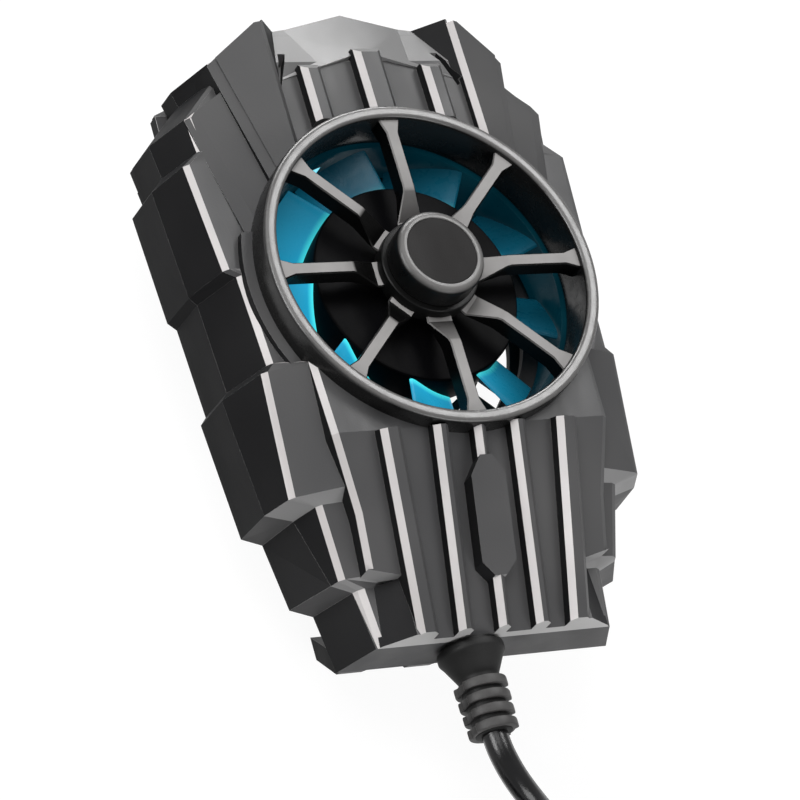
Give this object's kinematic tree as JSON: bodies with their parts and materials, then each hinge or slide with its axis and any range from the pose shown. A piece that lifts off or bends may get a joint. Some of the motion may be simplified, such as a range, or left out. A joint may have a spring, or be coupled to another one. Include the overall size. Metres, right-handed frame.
{
  "type": "phone cooling fan",
  "caption": "Clip-on phone cooling fan: stepped housing, round spoked guard, pitched-blade fan, fixed lower claws, sprung sliding upper jaw and a lead with a plug.",
  "frame": {"origin": "middle of the housing's box, on the surface that the claw tips stand on", "axes": "+Z the way the fan faces, +Y along the housing away from the lead, +X across it"},
  "size_m": [0.0682, 0.1504, 0.0322],
  "materials": {
    "shell_plastic": "satin black moulded plastic",
    "guard_plastic": "satin black moulded plastic with pale edges",
    "disc_plastic": "plain dark inset disc",
    "frame_plastic": "dark duct lit blue-green",
    "rotor_plastic": "clear-tinted blades lit cyan",
    "yoke_steel": "pressed steel",
    "magnet": "bonded ferrite ring",
    "shaft_steel": "ground steel",
    "clip_plastic": "split washer",
    "bronze": "sintered bronze",
    "core_steel": "stacked laminations",
    "winding": "enamelled copper",
    "board": "green circuit board",
    "lamp": "clear lamp body",
    "screw_steel": "plated steel",
    "cover_plastic": "satin black moulded plastic",
    "soft_rubber": "soft black rubber",
    "spring_steel": "drawn wire",
    "relief_rubber": "soft black sleeve",
    "wire": "thin insulated wire",
    "cord_rubber": "smooth black cable jacket",
    "tie_rubber": "soft black band",
    "plug_plastic": "black overmould",
    "plug_metal": "plated steel shell",
    "tongue_plastic": "white insulator"
  },
  "bodies": {
    "housing": {"front_shell": "shell_plastic", "fan_guard": "guard_plastic", "hub_cap": "guard_plastic", "hub_disc": "disc_plastic", "fan_frame": "frame_plastic", "bearing_sleeve": "bronze", "stator_core": "core_steel", "stator_coils": "winding", "motor_board": "board", "led_lamps": "lamp", "fan_screws": "screw_steel", "rear_cover": "cover_plastic", "case_screws": "screw_steel", "back_plate": "cover_plastic", "plate_screws": "screw_steel", "phone_pads": "soft_rubber", "lower_claw_grips": "soft_rubber", "spring_left": "spring_steel", "spring_right": "spring_steel", "strain_relief": "relief_rubber", "inner_lead": "wire", "cord": "cord_rubber", "cord_coil": "cord_rubber", "cord_tail": "cord_rubber", "coil_tie": "tie_rubber", "plug_body": "plug_plastic", "plug_shell": "plug_metal", "plug_tongue": "tongue_plastic"},
    "rotor": {"fan_rotor": "rotor_plastic", "rotor_yoke": "yoke_steel", "rotor_magnet": "magnet", "rotor_shaft": "shaft_steel", "shaft_clip": "clip_plastic"},
    "jaw": {"jaw_slider": "cover_plastic", "upper_claw_grips": "soft_rubber"}
  },
  "joints": [
    {"name": "fan_spin", "type": "hinge", "parent": "housing", "child": "rotor", "pos_m": [0, 0.00315, 0.0244], "axis": [0, 0, 1], "continuous": true},
    {"name": "jaw_slide", "type": "slide", "parent": "housing", "child": "jaw", "axis": [0, 1, 0], "range_m": [0, 0.02], "stiffness_N_per_m": 120, "springref_m": -0.004, "deforming": ["spring_left", "spring_right"]}
  ]
}
